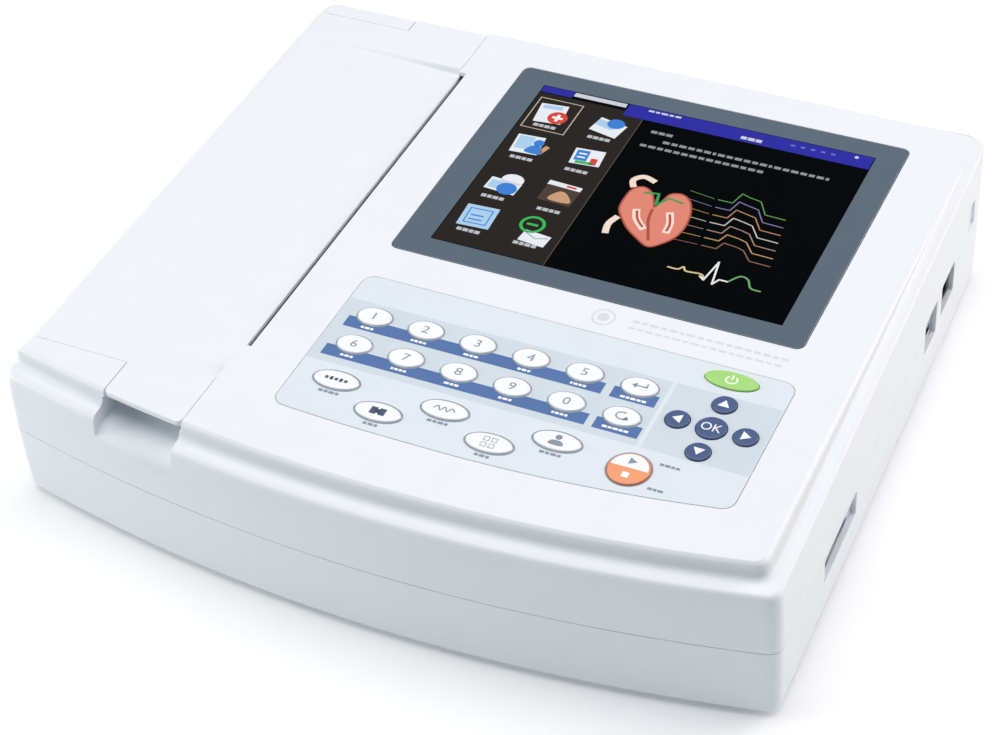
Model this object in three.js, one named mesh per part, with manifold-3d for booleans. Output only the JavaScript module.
// A desktop twelve-channel ECG machine with a keypad, a colour display and a chart printer.
// Millimetres. X runs to the machine's right, Y to its back and Z up; the origin lies on the
// table, under the middle of the machine.
import * as THREE from "three";
import { mergeVertices } from "three/addons/utils/BufferGeometryUtils.js";
import Module from "manifold-3d";

const wasm = await Module();
wasm.setup();

// ---------------------------------------------------------------- driving dimensions
const HALF_WIDTH = 182; // at the seam between the casings, where the machine is widest
const HALF_DEPTH = 163;
const FRONT_BOW = 1 / 1600; // the front is an arc of about 800 mm radius
const RIGHT_FRONT_Y = -135; // the right side runs straight back from here
const RIGHT_TAPER = 7.5; // and draws in by this much on its way to the back
const FOOT_HEIGHT = 3.7;
const FLOOR_Z = 4; // underside of the bottom casing
const SEAM_Z = 40; // seam between the two casings
const LEDGE_Z = 71.4;
const DECK_Z = 80;
const WALL = 2.6;
const GAP = 0.3; // between pieces that touch on the real machine

const LID = {
  right: -86,
  front: -122,
  back: 150,
  tabLeft: -127.5,
  stripLeft: -126,
  stripBack: 160,
  thick: 2.4,
};
const HINGE = { x: -173, z: 71, barrel: 9, pin: 2 };
const RAMP = { left: -150, front: -105, frontFoot: -117, back: 127.6, depth: 3.6 };
const SLIT = { front: -93, back: 126, right: -81.7 };
const NOTCH = { left: -129, right: -87, back: -127 };

const WINDOW = { x0: -55.9, x1: 142.8, y0: -9.4, y1: 141.7, corner: 4, thick: 1.8 };
const KEYPAD = { x0: -56, x1: 149, top: -31, thick: 0.6, recess: 0.9 };
const KEY = { rise: 0.9, gap: 0.4, flange: 0.9, sides: 12 };

const PLATEN = { x: -92, z: 66.5, radius: 6.5, shaft: 2.5, y0: -93, y1: 126 };
const ROLL = { x: -130.5, z: 44, radius: 26, bore: 6.4, y0: -91.5, y1: 124.5 };
const TRAY = { x0: -163, x1: -98, y0: -97, y1: 129, z0: 13, z1: 60, wall: 2 };
const HEAD = { face: -85.1, pinX: -81, pinZ: 46 };
const FRAME = { y0: -98.5, y1: 131.5, wallX: -73.5, plate: 2 };
const GEAR = { module: 0.8, y0: 132.5, y1: 136.5 };
const MOTOR = { x: -74.7, z: 41.6, side: 35, y0: 140.4, y1: 158.3 };

// ---------------------------------------------------------------- colours
const material = (color, roughness = 0.5, metalness = 0) =>
  new THREE.MeshStandardMaterial({ color, roughness, metalness });
const casingWhite = material(0xeef1f6, 0.45);
const bezelGrey = material(0x4f6073, 0.15);
const screenBlack = material(0x101216, 0.2);
const overlayGrey = material(0xdde4ec, 0.4);
const keyWhite = material(0xf4f6fa, 0.4);
const keyBlue = material(0x4b5d86, 0.4);
const keyGreen = material(0xa9dc84, 0.4);
const keyOrange = material(0xf0a070, 0.4);
const boardGreen = material(0x1f5c3a, 0.5);
const steel = material(0xb9bdc2, 0.35, 1);
const aluminium = material(0xcfd2d6, 0.4, 1);
const blackPlastic = material(0x1b1c1f, 0.5);
const rubberBlack = material(0x202022, 0.9);
const gearWhite = material(0xe9e6da, 0.5);
const paperWhite = material(0xf6f2ee, 0.9);
const batteryBlue = material(0x2f4f86, 0.5);
const brass = material(0xc9a24a, 0.35, 1);

// ---------------------------------------------------------------- solids
// A manifold from any closed three.js geometry.
function toSolid(geometry) {
  const bare = geometry.clone();
  bare.deleteAttribute("normal");
  bare.deleteAttribute("uv");
  const merged = mergeVertices(bare, 1e-4);
  return new wasm.Manifold(
    new wasm.Mesh({
      numProp: 3,
      vertProperties: merged.attributes.position.array,
      triVerts: new Uint32Array(merged.index.array),
    }),
  );
}

function toGeometry(solid) {
  const mesh = solid.getMesh();
  const geometry = new THREE.BufferGeometry();
  geometry.setAttribute("position", new THREE.BufferAttribute(mesh.vertProperties, 3));
  geometry.setIndex(new THREE.BufferAttribute(mesh.triVerts, 1));
  geometry.computeVertexNormals();
  return geometry;
}

const join = (first, ...others) => others.reduce((all, solid) => all.add(solid), first);
const cut = (first, ...others) => others.reduce((left, solid) => left.subtract(solid), first);

function block(x0, x1, y0, y1, z0, z1) {
  const box = new THREE.BoxGeometry(x1 - x0, y1 - y0, z1 - z0);
  return toSolid(box.translate((x0 + x1) / 2, (y0 + y1) / 2, (z0 + z1) / 2));
}

// A round bar along Y or Z between two stations.
function barY(x, z, radius, y0, y1, sides = 16) {
  const bar = new THREE.CylinderGeometry(radius, radius, y1 - y0, sides);
  return toSolid(bar.translate(x, (y0 + y1) / 2, z));
}
function barZ(x, y, radius, z0, z1, sides = 16) {
  const bar = new THREE.CylinderGeometry(radius, radius, z1 - z0, sides).rotateX(Math.PI / 2);
  return toSolid(bar.translate(x, y, (z0 + z1) / 2));
}

// Prisms of an outline, which is a list of [across, up] pairs.
function extrude(outline, depth) {
  const shape = new THREE.Shape(outline.map(([a, b]) => new THREE.Vector2(a, b)));
  return new THREE.ExtrudeGeometry(shape, { depth, bevelEnabled: false });
}
const prismZ = (outline, z0, z1) => toSolid(extrude(outline, z1 - z0).translate(0, 0, z0));
const prismY = (outline, y0, y1) =>
  toSolid(extrude(outline, y1 - y0).rotateX(Math.PI / 2).translate(0, y1, 0));
function prismX(outline, x0, x1) {
  const geometry = extrude(outline, x1 - x0);
  const turn = new THREE.Matrix4().makeBasis(
    new THREE.Vector3(0, 1, 0),
    new THREE.Vector3(0, 0, 1),
    new THREE.Vector3(1, 0, 0),
  );
  return toSolid(geometry.applyMatrix4(turn).translate(x0, 0, 0));
}

// A skin through rings of equal counts, closed by a flat face at each end. The rings are
// convex, or fold back on themselves halfway round, as the section of a bent plate does.
function loft(rings) {
  const count = rings[0].length;
  const positions = rings.flat().flatMap((point) => point);
  const index = [];
  for (let level = 0; level + 1 < rings.length; level += 1) {
    for (let i = 0; i < count; i += 1) {
      const a = level * count + i;
      const b = level * count + ((i + 1) % count);
      index.push(a, b, b + count, a, b + count, a + count);
    }
  }
  // Each cap is a ladder of triangles between the two halves of its ring.
  const cap = (offset, reversed) => {
    const face = (...places) => index.push(...(reversed ? places.reverse() : places));
    for (let low = offset, high = offset + count - 1; low + 1 < high; low += 1, high -= 1) {
      face(low, low + 1, high);
      if (low + 1 < high - 1) face(low + 1, high - 1, high);
    }
  };
  cap(0, true);
  cap((rings.length - 1) * count, false);
  const geometry = new THREE.BufferGeometry();
  geometry.setAttribute("position", new THREE.Float32BufferAttribute(positions, 3));
  geometry.setIndex(index);
  let solid = toSolid(geometry);
  if (solid.volume() < 0) {
    geometry.setIndex(index.reverse());
    solid = toSolid(geometry);
  }
  return solid;
}

function ellipse(x, y, a, b, sides) {
  return Array.from({ length: sides }, (_, i) => {
    const angle = (2 * Math.PI * i) / sides;
    return [x + a * Math.cos(angle), y + b * Math.sin(angle)];
  });
}

// A rectangle with round corners, anticlockwise from the lower left.
function roundedBox(x0, x1, y0, y1, radius, steps = 4) {
  const corners = [
    [x0 + radius, y0 + radius, 180],
    [x1 - radius, y0 + radius, 270],
    [x1 - radius, y1 - radius, 0],
    [x0 + radius, y1 - radius, 90],
  ];
  return corners.flatMap(([x, y, start]) =>
    Array.from({ length: steps + 1 }, (_, i) => {
      const angle = THREE.MathUtils.degToRad(start + (90 * i) / steps);
      return [x + radius * Math.cos(angle), y + radius * Math.sin(angle)];
    }),
  );
}

// ---------------------------------------------------------------- casing outlines
const frontY = (x, inset = 0) => -HALF_DEPTH + inset + x * x * FRONT_BOW;
const alongRight = (y) => Math.max(0, (y - RIGHT_FRONT_Y) / (HALF_DEPTH - RIGHT_FRONT_Y));
const rightX = (y) => HALF_WIDTH - RIGHT_TAPER * alongRight(y);
const RIGHT_STATIONS = 4;
const FRONT_STATIONS = 10;
const CORNER_STEPS = 3;
const BACK_FADE = 24; // the back's two insets blend over this much of its length

// The machine's plan at one height, each side drawn in by its own inset. The insets of the right
// and left sides are pairs, [at the front, at the back], and the back's is [at the left, where
// the lid hangs, at the right]. The corner radii are [front left, front right, both back].
function planOutline({ front, right, left, back, corner }) {
  const ybLeft = HALF_DEPTH - back[0];
  const yb = HALF_DEPTH - back[1];
  const edgeX = (y) => rightX(y) - right[0] - (right[1] - right[0]) * alongRight(y);
  const xl = -HALF_WIDTH + left[0];
  const xFront = edgeX(RIGHT_FRONT_Y);
  const points = [];
  const curve = (from, control, to, steps) => {
    const bend = new THREE.QuadraticBezierCurve(
      new THREE.Vector2(...from),
      new THREE.Vector2(...control),
      new THREE.Vector2(...to),
    );
    bend.getPoints(steps).forEach((p) => points.push([p.x, p.y]));
  };
  const cornerY = frontY(xFront, front);
  const leftY = frontY(xl, front);
  const arcStart = xl + corner[0];
  const arcEnd = xFront - corner[1];
  curve([xl, leftY + corner[0]], [xl, leftY], [arcStart, frontY(arcStart, front)], CORNER_STEPS);
  for (let i = 1; i < FRONT_STATIONS; i += 1) {
    const x = arcStart + ((arcEnd - arcStart) * i) / FRONT_STATIONS;
    points.push([x, frontY(x, front)]);
  }
  const sideStart = cornerY + corner[1];
  const sideEnd = yb - corner[2];
  curve([arcEnd, frontY(arcEnd, front)], [xFront, cornerY], [edgeX(sideStart), sideStart], CORNER_STEPS);
  for (let i = 1; i < RIGHT_STATIONS; i += 1) {
    const y = sideStart + ((sideEnd - sideStart) * i) / RIGHT_STATIONS;
    points.push([edgeX(y), y]);
  }
  curve([edgeX(sideEnd), sideEnd], [edgeX(yb), yb], [edgeX(yb) - corner[2], yb], CORNER_STEPS);
  points.push([LID.right, yb], [LID.right - BACK_FADE, ybLeft]);
  const xBack = -HALF_WIDTH + left[1];
  curve([xBack + corner[2], ybLeft], [xBack, ybLeft], [xBack, ybLeft - corner[2]], CORNER_STEPS);
  return points;
}

// The ledge climbs towards the deck along the right side, so that its step fades to the back.
const LEDGE_CLIMB = 7.6;
function ledgeRise(x, y) {
  const along = THREE.MathUtils.clamp((y + 120) / 270, 0, 1);
  const side = THREE.MathUtils.smoothstep(x, 140, 165);
  return LEDGE_CLIMB * along * side;
}

// Each level is a height, the insets of front, right, left and back, the corner radii, and
// how much of the ledge's climb it takes part in. A plain number stands for all of a list.
const several = (value) => (Array.isArray(value) ? value : [value, value, value]);
function planLoft(levels) {
  return loft(
    levels.map(([z, front, right, left, back, corner, climb = 0]) =>
      planOutline({
        front,
        right: several(right),
        left: several(left),
        back: several(back),
        corner: several(corner),
      }).map(([x, y]) => [x, y, z + climb * ledgeRise(x, y)]),
    ),
  );
}

// ---------------------------------------------------------------- keys
const KEY_PITCH = 25.3;
const FUNCTION_PITCH = 25.95;
const ARROW_CENTRE = [124.5, -68.9];
const ARROW_STEP = 15.1;
const digitKey = (name, column, y) => ({
  name,
  x: -39.2 + KEY_PITCH * column,
  y,
  a: 8,
  b: 5.5,
  colour: keyWhite,
});
const functionKey = (name, column) => ({
  name,
  x: -35.7 + FUNCTION_PITCH * column,
  y: column % 2 ? -110.8 : -99.4,
  a: 10.5,
  b: 5.2,
  colour: keyWhite,
});
const arrowKey = (name, dx, dy, radius = 5.3) => ({
  name,
  x: ARROW_CENTRE[0] + dx * ARROW_STEP,
  y: ARROW_CENTRE[1] + dy * ARROW_STEP,
  a: radius,
  b: radius,
  colour: keyBlue,
});
const KEYS = [
  ...["key_1", "key_2", "key_3", "key_4", "key_5", "key_enter"].map((name, column) =>
    digitKey(name, column, -56.4),
  ),
  ...["key_6", "key_7", "key_8", "key_9", "key_0", "key_shift"].map((name, column) =>
    digitKey(name, column, -75.9),
  ),
  ...["key_sensitivity", "key_speed", "key_filter", "key_mode", "key_patient"].map(functionKey),
  { name: "key_start_stop", x: 102, y: -103.7, a: 9, b: 9, colour: keyOrange },
  { name: "key_power", x: 122, y: -38.7, a: 12, b: 5.2, colour: keyGreen },
  arrowKey("key_up", 0, 1),
  arrowKey("key_down", 0, -1),
  arrowKey("key_left", -1, 0),
  arrowKey("key_right", 1, 0),
  arrowKey("key_ok", 0, 0, 6.6),
];
const OVERLAY_UNDER = DECK_Z - KEYPAD.thick;

function keyCap({ x, y, a, b }) {
  const ring = (grow, z) =>
    ellipse(x, y, a + grow, b + grow, KEY.sides).map(([px, py]) => [px, py, z]);
  return loft([
    ring(KEY.flange, OVERLAY_UNDER - 1.5),
    ring(KEY.flange, OVERLAY_UNDER - GAP),
    ring(0, OVERLAY_UNDER - GAP),
    ring(0, DECK_Z + KEY.rise),
  ]);
}

// The overlay's front edge follows the bow of the casing more steeply at its right end.
function overlayOutline(inset) {
  const corner = 6 - inset;
  const [x0, x1] = [KEYPAD.x0 + inset, KEYPAD.x1 - inset];
  const top = KEYPAD.top - inset;
  const lower = (x) => -122.6 + inset + Math.max(0, x - 20) ** 2 * 0.00078 + (x < 0 ? 0.0006 * x * x : 0);
  const bottom = Array.from({ length: 9 }, (_, i) => {
    const x = x0 + corner + ((x1 - x0 - 2 * corner) * i) / 8;
    return [x, lower(x)];
  });
  const arc = (x, y, start) =>
    Array.from({ length: 4 }, (_, i) => {
      const angle = THREE.MathUtils.degToRad(start + 30 * i);
      return [x + corner * Math.cos(angle), y + corner * Math.sin(angle)];
    });
  const startY = lower(x0 + corner) + corner;
  const endY = lower(x1 - corner) + corner;
  return [
    ...arc(x0 + corner, startY, 180).slice(0, -1),
    ...bottom,
    ...arc(x1 - corner, endY, 270).slice(1),
    ...arc(x1 - corner, top - corner, 0),
    ...arc(x0 + corner, top - corner, 90),
  ];
}

// ---------------------------------------------------------------- casings
// Side openings: [centre y, half width, lowest z, highest z].
const LEAD_PORT = { y: -62, half: 22, z0: 23.5, z1: 37 };
const USB_PORT = { y: 73, half: 9.5, z0: 26, z1: 45 };
const NETWORK_PORT = { y: 101, half: 10.5, z0: 28.5, z1: 46 };
const SIDE_GRIP = { y: 139.5, half: 5, z0: 44, z1: 58, depth: 1.2 };
const INLET = { x: -20, half: 14, z0: 16, z1: 37 };
const ROCKER = { x: 14, half: 10.5, z0: 19.5, z1: 33.5 };
const EARTH = { x: 40, z: 26, radius: 3 };
const BATTERY = { x0: -36, x1: 66, y0: -139, y1: -72 };
const SPEAKER = { x: 120, y: -122, radius: 16 };
const FEET = { front_left: [-148, -122], front_right: [152, -122], back_left: [-150, 138], back_right: [148, 138] };
const BOSSES = [
  [-166, -112],
  [-66, -146],
  [158, -96],
  [160, 142],
  [-52, 148],
  [-166, 142],
];

// The USB and network openings are shared by the two casings, across the seam.
const sidePort = ({ y, half, z0, z1 }) => block(160, 190, y - half, y + half, z0, z1);

function bottomCasing() {
  const outer = planLoft([
    [FLOOR_Z, 1.6, [1, 1.6], 1.2, 2, [4, 6, 10]],
    [FLOOR_Z + 0.7, 0.8, 0.8, 0.6, 1, [4, 6, 11]],
    [FLOOR_Z + 2.5, 0.4, 0.4, 0.3, 0.5, [4, 6, 12]],
    [SEAM_Z, 0, 0, 0, 0, [4, 6, 12]],
  ]);
  const inner = planLoft([
    [FLOOR_Z + WALL, 4.2, 4.2, 4.2, 4.2, [3, 5, 8]],
    [FLOOR_Z + WALL + 2, 3, 3, 3, 3, [3, 5, 9]],
    [SEAM_Z + 1, WALL, WALL, WALL, WALL, [3, 5, 10]],
  ]);
  const rear = ({ x, half, z0, z1 }) => block(x - half, x + half, 150, 170, z0, z1);
  const bosses = BOSSES.map(([x, y]) => barZ(x, y, 4.5, FLOOR_Z + 1, SEAM_Z - 2, 12));
  const screwHoles = BOSSES.map(([x, y]) => barZ(x, y, 2.4, FLOOR_Z - 1, SEAM_Z, 8));
  const grille = [-9, -4.5, 0, 4.5, 9].map((dx) =>
    block(SPEAKER.x + dx - 1, SPEAKER.x + dx + 1, SPEAKER.y - 10, SPEAKER.y + 10, 0, 10),
  );
  const vents = [0, 1, 2, 3, 4, 5].map((i) => block(86 + 9 * i, 90 + 9 * i, 150, 170, 20, 34));
  return cut(
    join(cut(outer, inner), ...bosses),
    ...screwHoles,
    ...grille,
    ...vents,
    sidePort(LEAD_PORT),
    sidePort(USB_PORT),
    sidePort(NETWORK_PORT),
    rear(INLET),
    rear(ROCKER),
    barY(EARTH.x, EARTH.z, EARTH.radius, 150, 170, 12),
    block(BATTERY.x0, BATTERY.x1, BATTERY.y0, BATTERY.y1, 0, 10),
  );
}

// The scoop for a fingertip under the lid's tab, seen from the side as [y, z].
function notchProfile() {
  const mouth = frontY(NOTCH.left) - 12;
  return [
    [mouth, 50],
    [frontY(-108) - 1, 55.2],
    [frontY(-108) + 2.5, 59.5],
    [frontY(-108) + 6.5, 62.6],
    [frontY(-108) + 12, 64],
    [NOTCH.back - 4, 64.6],
    [NOTCH.back, 67],
    [NOTCH.back, 90],
    [mouth, 90],
  ];
}

function topCasing() {
  const outer = planLoft([
    [SEAM_Z + GAP, 0, 0, 0, 0, [4, 6, 12]],
    [66, 1, [0.9, 0.3], 0, [0.8, 0], [5, 6, 11]],
    [69.6, 1.9, [1.6, 0.4], 0.1, [1, 0], [5, 6, 10], 1],
    [LEDGE_Z - 0.5, 3.1, [2.6, 0.6], [0.2, 0.3], [1.1, 0.1], [5, 6, 9], 1],
    [LEDGE_Z, 5, [4, 1], [0.25, 0.4], [1.2, 0.15], [5, 6, 9], 1],
    [LEDGE_Z + 0.5, 8.6, [7.4, 3], [0.3, 0.5], [1.3, 0.2], [4, 6, 8], 1],
    [LEDGE_Z + 2.2, 10.6, [9, 5], [0.5, 1.1], [1.5, 0.3], [4, 6, 8], 0.79],
    [DECK_Z - 1.6, 11.2, [9.8, 6], [1, 4.6], [2.2, 0.5], [4, 6, 7], 0.17],
    [DECK_Z, 12.8, [11.6, 8], [2.3, 8.4], [4.2, 1.2], [4, 5, 6]],
  ]);
  const inner = planLoft([
    [SEAM_Z - 1, WALL, WALL, WALL, WALL, [3, 5, 10]],
    [66, 3.6, 3.5, 2.8, 3.6, [3, 5, 9]],
    [LEDGE_Z - 2.6, 5, 5, 3.2, 4, [3, 5, 8]],
    [LEDGE_Z - 2.5, 13.4, 12.4, 4.6, 4, 6],
    [DECK_Z - 2.5, 14.2, 13, 9, 5, 5],
  ]);
  const shell = cut(outer, inner);
  // Ribs and pockets inside the shell.
  const bound = planLoft([
    [SEAM_Z + 1, 0.5, 0.5, 0.5, 0.5, [5, 7, 12]],
    [66, 1.5, 1.5, 0.6, 1.5, [6, 7, 11]],
    [LEDGE_Z - 0.5, 4, 3.6, 1, 2, 9],
    [LEDGE_Z + 0.2, 11, 10, 2, 2, 8],
    [DECK_Z - 0.5, 12, 11, 8.6, 5, 6],
  ]);
  const frontRib = block(-182, LID.right + 2, LID.front - 3, LID.front - GAP, 60, DECK_Z - 1);
  const backRib = block(-182, LID.stripLeft, LID.back + GAP, LID.back + 3, 60, DECK_Z - 1);
  const pocket = block(NOTCH.left - 2.5, NOTCH.right + 2.5, -170, NOTCH.back + 2.5, 52, DECK_Z - 1);
  // The screw posts under the lid are tied to the side wall, and the others hang from the deck.
  const underLid = ([x]) => x < TRAY.x0;
  const posts = BOSSES.map(([x, y]) =>
    barZ(x, y, 4, SEAM_Z + 1.2, underLid([x, y]) ? 59 : DECK_Z - 1, 12),
  );
  const ties = BOSSES.filter(underLid).map(([x, y]) =>
    block(-182, x, y - 1.2, y + 1.2, SEAM_Z + 2, 59),
  );
  const added = [frontRib, backRib, pocket, ...posts, ...ties].map((solid) => solid.intersect(bound));
  const postFeet = BOSSES.map(([x, y]) => barZ(x, y, 4, SEAM_Z - 1.6, SEAM_Z + 2, 12));
  const bay = block(-200, LID.right + GAP, LID.front - GAP, LID.back + GAP, 68, DECK_Z + 5);
  const barrelRoom = barY(HINGE.x, HINGE.z, HINGE.barrel + 0.3, LID.front - GAP, LID.back + GAP, 40);
  const strip = block(LID.stripLeft - GAP, LID.right + GAP, LID.back, 180, 77.2, DECK_Z + 5);
  const tab = block(LID.tabLeft - GAP, LID.right + GAP, -190, LID.front, 76.6, DECK_Z + 5);
  const notch = prismX(notchProfile(), NOTCH.left, NOTCH.right);
  const slit = block(LID.right, SLIT.right, SLIT.front, SLIT.back, 70, DECK_Z + 5);
  const windowRecess = prismZ(
    roundedBox(WINDOW.x0 - GAP, WINDOW.x1 + GAP, WINDOW.y0 - GAP, WINDOW.y1 + GAP, WINDOW.corner),
    DECK_Z - WINDOW.thick - GAP,
    DECK_Z + 5,
  );
  const windowHole = block(-51, 138, -4.5, 136.8, 60, DECK_Z + 5);
  const overlayRecess = prismZ(overlayOutline(-GAP), DECK_Z - KEYPAD.recess, DECK_Z + 5);
  // The window under the overlay, stepped to follow its bowed edge and the keys near its rim.
  const keyRoom = [
    [-50.5, 146.4, -105.5, -33],
    [-50.5, 90, -117.6, -104],
    [89, 113.5, -114.8, -104],
    [108, 136, -34, -32.2],
  ].map(([x0, x1, y0, y1]) => block(x0, x1, y0, y1, 60, DECK_Z + 5));
  const pinHole = barY(HINGE.x, HINGE.z, HINGE.pin + GAP, LID.front - 3.5, LID.back + 3.5, 12);
  // A shallow panel in the right side, near the back corner.
  const grip = block(
    rightX(SIDE_GRIP.y) - 0.6 - SIDE_GRIP.depth,
    200,
    SIDE_GRIP.y - SIDE_GRIP.half,
    SIDE_GRIP.y + SIDE_GRIP.half,
    SIDE_GRIP.z0,
    SIDE_GRIP.z1,
  );
  const pilots = BOSSES.map(([x, y]) => barZ(x, y, 1.3, SEAM_Z - 2, 60, 6));
  return cut(
    join(shell, ...added, ...postFeet),
    bay,
    barrelRoom,
    strip,
    tab,
    notch,
    slit,
    windowRecess,
    windowHole,
    overlayRecess,
    ...keyRoom,
    pinHole,
    grip,
    sidePort(USB_PORT),
    sidePort(NETWORK_PORT),
    ...pilots,
  );
}

// ---------------------------------------------------------------- printer lid
// One cross-section of the lid in X and Z: a barrel round the hinge, then the plate.
function lidSection(y, edgeZ) {
  const steps = 9;
  const arc = (radius) =>
    Array.from({ length: steps + 1 }, (_, i) => {
      const angle = THREE.MathUtils.degToRad(205 - (115 * i) / steps);
      return [HINGE.x + radius * Math.cos(angle), y, HINGE.z + radius * Math.sin(angle)];
    });
  return [
    ...arc(HINGE.barrel),
    [RAMP.left, y, DECK_Z],
    [LID.right, y, edgeZ],
    [LID.right, y, edgeZ - LID.thick],
    [RAMP.left, y, DECK_Z - LID.thick],
    ...arc(HINGE.barrel - LID.thick).reverse(),
  ];
}

function printerLid() {
  const low = DECK_Z - RAMP.depth;
  const plate = loft([
    lidSection(LID.front, DECK_Z),
    lidSection(RAMP.frontFoot, DECK_Z),
    lidSection(RAMP.front, low),
    lidSection(RAMP.back, low),
    lidSection(RAMP.back + 0.8, DECK_Z),
    lidSection(LID.back, DECK_Z),
  ]);
  const tabFront = (x) => frontY(x, 11);
  const tabOutline = [
    [LID.tabLeft, LID.front + 3],
    [LID.tabLeft, tabFront(LID.tabLeft) + 1.5],
    [LID.tabLeft + 1.5, tabFront(LID.tabLeft + 1.5)],
    [-113, tabFront(-113)],
    [-100, tabFront(-100)],
    [LID.right - 1.5, tabFront(LID.right - 1.5)],
    [LID.right, tabFront(LID.right) + 1.5],
    [LID.right, LID.front + 3],
  ];
  const tab = prismZ(tabOutline, DECK_Z - 2.8, DECK_Z);
  const strip = prismY(
    [
      [LID.stripLeft, DECK_Z - LID.thick],
      [LID.right, DECK_Z - LID.thick],
      [LID.right, DECK_Z],
      [LID.stripLeft, DECK_Z],
    ],
    LID.back - 2,
    LID.stripBack,
  );
  const endDisc = (y) => barY(HINGE.x, HINGE.z, HINGE.barrel - 1, y, y + 2.4, 24);
  const bracket = (y) => block(-97.5, -86.8, y, y + 2, 61, 76);
  const stiffener = (y) => block(-166, -101, y, y + 2, 74, DECK_Z - 1.6);
  const ribs = [-60, 16, 92].map((y) => stiffener(y).subtract(block(-130, -90, y - 1, y + 3, 76, 90)));
  const hooks = [-96, 126.9].map(bracket);
  return cut(
    join(plate, tab, strip, endDisc(LID.front), endDisc(LID.back - 2.4), ...ribs, ...hooks),
    barY(HINGE.x, HINGE.z, HINGE.pin + GAP, -140, 170, 12),
    barY(PLATEN.x, PLATEN.z, PLATEN.shaft + GAP, -110, 140, 12),
  );
}

// ---------------------------------------------------------------- printer
// A spur gear's outline, with a tooth at the given angle.
function gearOutline(teeth, x, z, toothAngle) {
  const pitch = (teeth * GEAR.module) / 2;
  const step = (2 * Math.PI) / teeth;
  const profile = [
    [pitch - 1.2 * GEAR.module, 0.3],
    [pitch + 0.85 * GEAR.module, 0.1],
  ];
  const half = [...profile.map(([r, t]) => [r, -t]), ...profile.map(([r, t]) => [r, t]).reverse()];
  return Array.from({ length: teeth }, (_, tooth) =>
    half.map(([radius, share]) => {
      const angle = toothAngle + (tooth + share) * step;
      return [x + radius * Math.cos(angle), z + radius * Math.sin(angle)];
    }),
  ).flat();
}

const TEETH = { platen: 16, idler: 24, pinion: 12 };
const meshDistance = (a, b) => ((a + b) * GEAR.module) / 2 + 0.1;
const IDLER_ANGLE = THREE.MathUtils.degToRad(-60);
const IDLER = {
  x: PLATEN.x + meshDistance(TEETH.platen, TEETH.idler) * Math.cos(IDLER_ANGLE),
  z: PLATEN.z + meshDistance(TEETH.platen, TEETH.idler) * Math.sin(IDLER_ANGLE),
};
const PINION_ANGLE = Math.atan2(MOTOR.z - IDLER.z, MOTOR.x - IDLER.x);
const PINION = {
  x: IDLER.x + meshDistance(TEETH.idler, TEETH.pinion) * Math.cos(PINION_ANGLE),
  z: IDLER.z + meshDistance(TEETH.idler, TEETH.pinion) * Math.sin(PINION_ANGLE),
};

function gear(teeth, { x, z }, toothAngle, bore) {
  return cut(
    prismY(gearOutline(teeth, x, z, toothAngle), GEAR.y0, GEAR.y1),
    barY(x, z, bore, GEAR.y0 - 1, GEAR.y1 + 1, 12),
  );
}

// The idler has a tooth pointing at the platen; the others have a gap where it meets them.
const idlerTooth = IDLER_ANGLE + Math.PI;
function toothOpposite(teeth, ofTeeth, ownTooth, towards) {
  const ownStep = (2 * Math.PI) / ofTeeth;
  const phase = (towards - ownTooth) / ownStep;
  const offset = phase - Math.floor(phase);
  return towards + Math.PI + (offset + 0.5) * ((2 * Math.PI) / teeth);
}

const platenTooth = toothOpposite(TEETH.platen, TEETH.idler, idlerTooth, IDLER_ANGLE + Math.PI);
const IDLER_AXLE = 2;

const platenRoller = () =>
  cut(
    barY(PLATEN.x, PLATEN.z, PLATEN.radius, PLATEN.y0, PLATEN.y1, 24),
    barY(PLATEN.x, PLATEN.z, PLATEN.shaft + GAP, PLATEN.y0 - 1, PLATEN.y1 + 1, 12),
  );

// The pinion and the motor's shaft are one piece, which ends just short of the motor's face.
function motorPinion() {
  const tooth = toothOpposite(TEETH.pinion, TEETH.idler, idlerTooth, PINION_ANGLE);
  return join(
    prismY(gearOutline(TEETH.pinion, PINION.x, PINION.z, tooth), GEAR.y0, GEAR.y1),
    barY(PINION.x, PINION.z, 1.5, GEAR.y0 - 0.8, MOTOR.y0 - GAP, 10),
  );
}

function feedMotor() {
  const half = MOTOR.side / 2;
  return block(MOTOR.x - half, MOTOR.x + half, MOTOR.y0, MOTOR.y1, MOTOR.z - half, MOTOR.z + half);
}

function printerFrame() {
  const { y0, y1, wallX, plate } = FRAME;
  const side = [
    [-97, 40],
    [wallX + plate, 38],
    [wallX + plate, 76.6],
    [wallX, 76.6],
    [-80, 72.4],
    [-97, 72.4],
  ];
  const slot = (y) =>
    join(
      barY(PLATEN.x, PLATEN.z, PLATEN.shaft + GAP, y - 1, y + plate + 1, 12),
      block(PLATEN.x - 2.8, PLATEN.x + 2.8, y - 1, y + plate + 1, PLATEN.z, 80),
    );
  const wall = block(wallX, wallX + plate, y0, y1, 38, 76.6);
  const flange = block(wallX, -60, y0, y1, 75, 77.1);
  const motorPlate = block(-98, -56, 138, 140, 22, 62);
  const axle = barY(IDLER.x, IDLER.z, IDLER_AXLE, y1 - 1, 139, 12);
  const tie = block(wallX, wallX + plate, y1 - 1, 139, 58, 62);
  const foot = block(wallX, wallX + plate, -20, 60, 7, 40);
  return cut(
    join(prismY(side, y0, y0 + plate), prismY(side, y1 - plate, y1), wall, flange, motorPlate, axle, tie, foot),
    slot(y0),
    slot(y1 - plate),
    barY(HEAD.pinX, HEAD.pinZ, 1.5 + GAP, y0 - 1, y1 + 1, 10),
    barY(PINION.x, PINION.z, 4, 137, 141, 16),
  );
}

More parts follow.
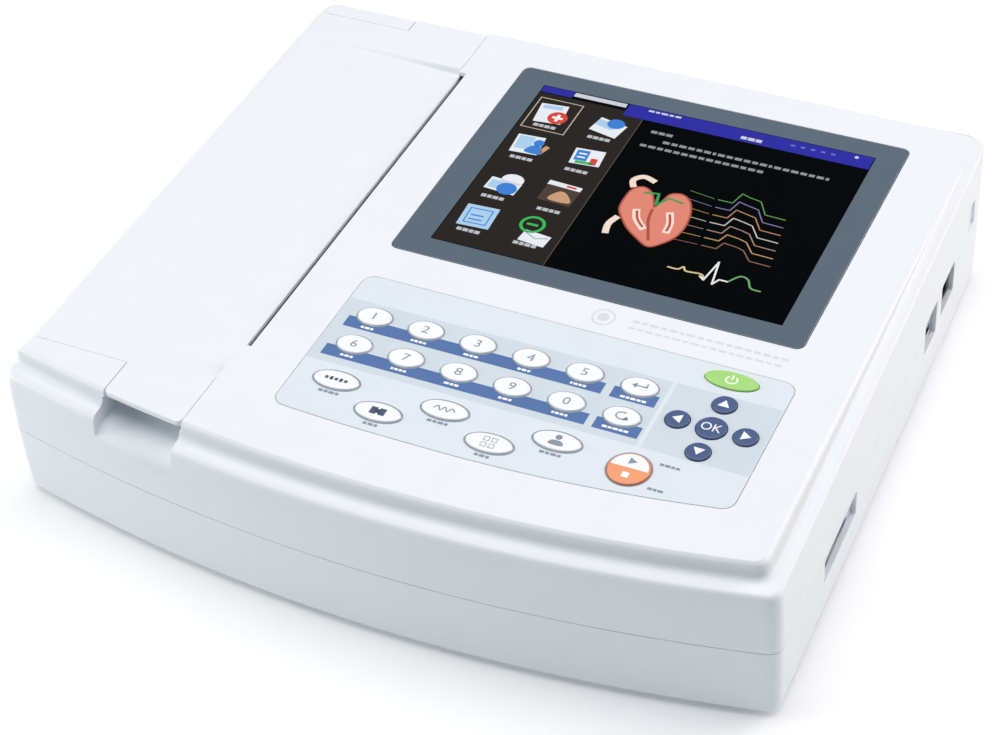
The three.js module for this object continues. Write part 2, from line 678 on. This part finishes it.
function printHead() {
  const body = prismY(
    [
      [HEAD.face, 58],
      [HEAD.face + 3, 56],
      [HEAD.face + 3, 49],
      [HEAD.pinX + 1.8, 46],
      [HEAD.pinX + 2.2, 75.4],
      [HEAD.face + 0.6, 75.4],
      [HEAD.face, 74.6],
    ],
    -92,
    125,
  );
  return cut(
    join(body, barY(HEAD.pinX, HEAD.pinZ, 3.4, -92, 125, 14)),
    barY(HEAD.pinX, HEAD.pinZ, 1.5 + GAP, -93, 126, 10),
  );
}

// A short coil between the print head and the frame, wound round the X axis.
function headSpring() {
  const radius = 3;
  const x0 = HEAD.pinX + 2.8;
  const x1 = FRAME.wallX - 0.7;
  const turns = 3;
  const points = Array.from({ length: turns * 8 + 1 }, (_, i) => {
    const angle = (2 * Math.PI * i) / 8;
    const share = i / (turns * 8);
    return new THREE.Vector3(
      x0 + (x1 - x0) * share,
      16 + radius * Math.cos(angle),
      66 + radius * Math.sin(angle),
    );
  });
  const wire = new THREE.Shape(ellipse(0, 0, 0.4, 0.4, 5).map(([a, b]) => new THREE.Vector2(a, b)));
  return toSolid(
    new THREE.ExtrudeGeometry(wire, {
      steps: turns * 8,
      bevelEnabled: false,
      extrudePath: new THREE.CatmullRomCurve3(points),
    }),
  );
}

function paperTray() {
  const { x0, x1, y0, y1, z0, z1, wall } = TRAY;
  const tub = cut(
    block(x0, x1, y0, y1, z0, z1),
    block(x0 + wall, x1 - wall, y0 + wall, y1 - wall, z0 + wall, z1 + 5),
    block(x1 - wall - 1, x1 + 1, y0 + wall, y1 - wall, 50, z1 + 5),
  );
  const slot = join(
    barY(ROLL.x, ROLL.z, 4 + GAP, y0 - 1, y1 + 1, 14),
    block(ROLL.x - 4.3, ROLL.x + 4.3, y0 - 1, y1 + 1, ROLL.z, z1 + 5),
  );
  const legs = [
    [x0 + 8, y0 + 20],
    [x1 - 8, y0 + 20],
    [x0 + 8, y1 - 20],
    [x1 - 8, y1 - 20],
  ].map(([x, y]) => barZ(x, y, 4, FLOOR_Z + WALL + GAP, z0 + 1, 10));
  return cut(join(tub, ...legs), slot);
}

// A turned piece along Y from [y, radius] pairs, round the axis at x and z.
function turned(x, z, profile, sides = 16) {
  const points = [
    new THREE.Vector2(0, profile[0][0]),
    ...profile.map(([y, radius]) => new THREE.Vector2(radius, y)),
    new THREE.Vector2(0, profile.at(-1)[0]),
  ];
  const geometry = new THREE.LatheGeometry(points, sides).translate(x, 0, z);
  const solid = toSolid(geometry);
  return solid.volume() < 0 ? toSolid(new THREE.LatheGeometry(points.reverse(), sides).translate(x, 0, z)) : solid;
}

const paperRoll = () =>
  cut(
    barY(ROLL.x, ROLL.z, ROLL.radius, ROLL.y0, ROLL.y1, 40),
    barY(ROLL.x, ROLL.z, ROLL.bore, ROLL.y0 - 1, ROLL.y1 + 1, 20),
  );
const paperSpindle = () =>
  turned(ROLL.x, ROLL.z, [
    [-99.5, 3.6],
    [-94.6, 3.6],
    [-94.6, 13],
    [-93, 13],
    [-93, 6],
    [125.1, 6],
    [125.1, 13],
    [126.6, 13],
    [126.6, 3.6],
    [131.6, 3.6],
  ]);

// ---------------------------------------------------------------- electronics
const BOARD_Z = 21.5; // underside of the main board
const ECG_BOARD_Z = 18.3;
const BOARD_THICK = 1.6;
function mainBoard() {
  const face = BOARD_Z + BOARD_THICK - 0.9; // components start inside the board's thickness
  // A socket block stands on the board and reaches into its opening in the side wall.
  const socket = ({ y, half, z0, z1 }) =>
    join(
      block(154, 168, y - half + 1, y + half - 1, face, z1 - 0.6),
      block(160, rightX(y) - 2.4, y - half + 1, y + half - 1, z0 + 0.4, z1 - 0.6),
    );
  const board = block(6, 163, -26, 126, BOARD_Z, BOARD_Z + BOARD_THICK);
  const usbMouths = [2.5, 11].map((rise) =>
    block(
      166,
      190,
      USB_PORT.y - 6.6,
      USB_PORT.y + 6.6,
      USB_PORT.z0 + rise,
      USB_PORT.z0 + rise + 5.2,
    ),
  );
  const { y: networkY, z0: networkZ } = NETWORK_PORT;
  const networkMouth = block(164, 190, networkY - 6.2, networkY + 6.2, networkZ + 2.5, networkZ + 13.5);
  const chips = [
    [40, 66, 30, 56, 3.4],
    [84, 100, 20, 36, 2.6],
    [84, 100, 50, 66, 2.6],
    [20, 34, 90, 118, 9],
    [110, 130, 96, 116, 7],
  ].map(([x0, x1, y0, y1, high]) => block(x0, x1, y0, y1, face, face + high));
  const posts = [
    [14, -18],
    [150, -18],
    [14, 118],
    [140, 118],
  ].map(([x, y]) => barZ(x, y, 3, FLOOR_Z + WALL + GAP, face, 10));
  return cut(
    join(board, socket(USB_PORT), socket(NETWORK_PORT), ...chips, ...posts),
    ...usbMouths,
    networkMouth,
  );
}

const leadPortX = rightX(LEAD_PORT.y) - 2.2;
function leadSocket() {
  const { y, half, z0, z1 } = LEAD_PORT;
  const housing = block(163, leadPortX, y - half + 0.5, y + half - 0.5, z0 + 0.4, z1 - 0.4);
  const mouth = prismX(
    [
      [y - 12.4, z0 + 2.6],
      [y + 12.4, z0 + 2.6],
      [y + 13.6, z1 - 2.6],
      [y - 13.6, z1 - 2.6],
    ],
    leadPortX - 6,
    leadPortX + 1,
  );
  const core = prismX(
    [
      [y - 11.6, z0 + 3.4],
      [y + 11.6, z0 + 3.4],
      [y + 12.8, z1 - 3.4],
      [y - 12.8, z1 - 3.4],
    ],
    leadPortX - 8,
    leadPortX - 0.4,
  );
  return join(cut(housing, mouth), core);
}

function ecgBoard() {
  return join(
    block(84, 162, -90, -34, ECG_BOARD_Z, ECG_BOARD_Z + BOARD_THICK),
    block(96, 146, -82, -42, ECG_BOARD_Z + 0.7, 30),
    ...[
      [90, -84],
      [152, -84],
      [90, -42],
      [158, -42],
    ].map(([x, y]) => barZ(x, y, 3, FLOOR_Z + WALL + GAP, ECG_BOARD_Z + 0.7, 10)),
  );
}

const keypadBoard = () =>
  join(
    block(-49.5, 145.6, -104.8, -34, 75.4, 77),
    block(-49.5, 89, -116.8, -103, 75.4, 77),
    block(86, 112.8, -114, -103, 75.4, 77),
    block(-10, 30, -50, -40, 72, 76),
  );

const screenWindow = () =>
  prismZ(
    roundedBox(WINDOW.x0, WINDOW.x1, WINDOW.y0, WINDOW.y1, WINDOW.corner),
    DECK_Z - WINDOW.thick,
    DECK_Z,
  );
const lcdModule = () =>
  join(block(-50, 137, -3.6, 135.8, 69.5, 77.8), block(-20, 60, 20, 60, 66, 70));

function keypadOverlay() {
  const sheet = prismZ(overlayOutline(0), OVERLAY_UNDER, DECK_Z);
  return cut(
    sheet,
    ...KEYS.map(({ x, y, a, b }) =>
      prismZ(ellipse(x, y, a + KEY.gap, b + KEY.gap, KEY.sides), OVERLAY_UNDER - 1, DECK_Z + 1),
    ),
  );
}

function powerSupply() {
  return join(
    block(-62, 0, 40, 132, 12, 14),
    block(-58, -4, 44, 128, 13, 44),
    ...[
      [-59.5, 36],
      [-6, 36],
    ].map(([x, y]) => block(x, x + 4, y, y + 8, 12, 14)),
    ...[
      [-56, 46],
      [-8, 46],
      [-56, 124],
      [-8, 124],
    ].map(([x, y]) => barZ(x, y, 3, FLOOR_Z + WALL + GAP, 13, 10)),
  );
}

const batteryPack = () =>
  prismX(roundedBox(-134, -77, FLOOR_Z + 3.4, 30, 3, 2), BATTERY.x0 + 6, BATTERY.x1 - 6);
const batteryDoor = () =>
  block(BATTERY.x0 + GAP, BATTERY.x1 - GAP, BATTERY.y0 + GAP, BATTERY.y1 - GAP, FLOOR_Z, FLOOR_Z + 2.6);

function mainsInlet() {
  const { x, half, z0, z1 } = INLET;
  const face = HALF_DEPTH - 1.8;
  const housing = block(x - half + GAP, x + half - GAP, 138, face, z0 + GAP, z1 - GAP);
  const mouth = prismY(
    [
      [x - 12, z0 + 2.4],
      [x + 12, z0 + 2.4],
      [x + 12, z1 - 6],
      [x + 8, z1 - 2.4],
      [x - 8, z1 - 2.4],
      [x - 12, z1 - 6],
    ],
    face - 17,
    face + 1,
  );
  const pins = [-7, 0, 7].map((dx) =>
    block(x + dx - 1, x + dx + 1, face - 18, face - 2, dx ? z0 + 7 : z0 + 12, dx ? z0 + 11 : z0 + 16),
  );
  return join(cut(housing, mouth), ...pins);
}

// The rocker sits in the back wall and tips about an axis along X.
const ROCKER_TILT = THREE.MathUtils.degToRad(8);
function powerRocker() {
  const { x, half, z0, z1 } = ROCKER;
  const middle = (z0 + z1) / 2;
  const axisY = HALF_DEPTH - 7;
  const reach = 5.8;
  const profile = [
    [axisY - 4, middle - 4],
    [axisY + 2, middle - reach],
    [axisY + 4.6, middle - reach],
    [axisY + 4.1, middle],
    [axisY + 4.6, middle + reach],
    [axisY + 2, middle + reach],
    [axisY - 4, middle + 4],
  ].map(([y, z]) => {
    const dy = y - axisY;
    const dz = z - middle;
    return [
      axisY + dy * Math.cos(ROCKER_TILT) - dz * Math.sin(ROCKER_TILT),
      middle + dy * Math.sin(ROCKER_TILT) + dz * Math.cos(ROCKER_TILT),
    ];
  });
  return prismX(profile, x - half + 0.8, x + half - 0.8);
}

const earthStud = () => {
  const bar = (radius, y0, y1, sides) => barY(EARTH.x, EARTH.z, radius, y0, y1, sides);
  return join(bar(2.6, 150, 162.4, 12), bar(5, 152, 158.4, 6));
};

const speaker = () =>
  join(
    barZ(SPEAKER.x, SPEAKER.y, SPEAKER.radius, FLOOR_Z + WALL + GAP, 12, 24),
    barZ(SPEAKER.x, SPEAKER.y, 8, 11, 18, 20),
  );

const foot = ([x, y]) => {
  const profile = [
    [0, 0],
    [8, 0],
    [9, 1],
    [9, FOOT_HEIGHT],
    [0, FOOT_HEIGHT],
  ].map(([radius, z]) => new THREE.Vector2(radius, z));
  return toSolid(new THREE.LatheGeometry(profile, 20).rotateX(Math.PI / 2).translate(x, y, 0));
};

// ---------------------------------------------------------------- assembly
const group = new THREE.Group();
function add(name, solid, colour) {
  const mesh = new THREE.Mesh(toGeometry(solid), colour);
  mesh.name = name;
  group.add(mesh);
}

add("bottom_casing", bottomCasing(), casingWhite);
add("top_casing", topCasing(), casingWhite);
add("printer_lid", printerLid(), casingWhite);
add("lid_hinge_pin", barY(HINGE.x, HINGE.z, HINGE.pin, LID.front - 3.2, LID.back + 3.2, 12), steel);
add("screen_window", screenWindow(), bezelGrey);
add("lcd_module", lcdModule(), screenBlack);
add("keypad_overlay", keypadOverlay(), overlayGrey);
KEYS.forEach((key) => add(key.name, keyCap(key), key.colour));
add("keypad_board", keypadBoard(), boardGreen);
add("main_board", mainBoard(), boardGreen);
add("ecg_board", ecgBoard(), boardGreen);
add("lead_socket", leadSocket(), steel);
add("power_supply", powerSupply(), aluminium);
add("battery_pack", batteryPack(), batteryBlue);
add("battery_door", batteryDoor(), casingWhite);
add("speaker", speaker(), blackPlastic);
add("mains_inlet", mainsInlet(), blackPlastic);
add("power_rocker", powerRocker(), blackPlastic);
add("earth_stud", earthStud(), brass);
add("paper_tray", paperTray(), blackPlastic);
add("paper_roll", paperRoll(), paperWhite);
add("paper_spindle", paperSpindle(), blackPlastic);
add("platen_roller", platenRoller(), rubberBlack);
add("platen_shaft", barY(PLATEN.x, PLATEN.z, PLATEN.shaft, -100, 137.2, 12), steel);
add("platen_gear", gear(TEETH.platen, PLATEN, platenTooth, PLATEN.shaft + GAP), gearWhite);
add("idler_gear", gear(TEETH.idler, IDLER, idlerTooth, IDLER_AXLE + GAP), gearWhite);
add("motor_pinion", motorPinion(), brass);
add("feed_motor", feedMotor(), steel);
add("printer_frame", printerFrame(), steel);
add("print_head", printHead(), aluminium);
add("head_pin", barY(HEAD.pinX, HEAD.pinZ, 1.5, -99, 132, 10), steel);
add("head_spring", headSpring(), steel);
Object.entries(FEET).forEach(([place, centre]) => add(`foot_${place}`, foot(centre), rubberBlack));

export default group;
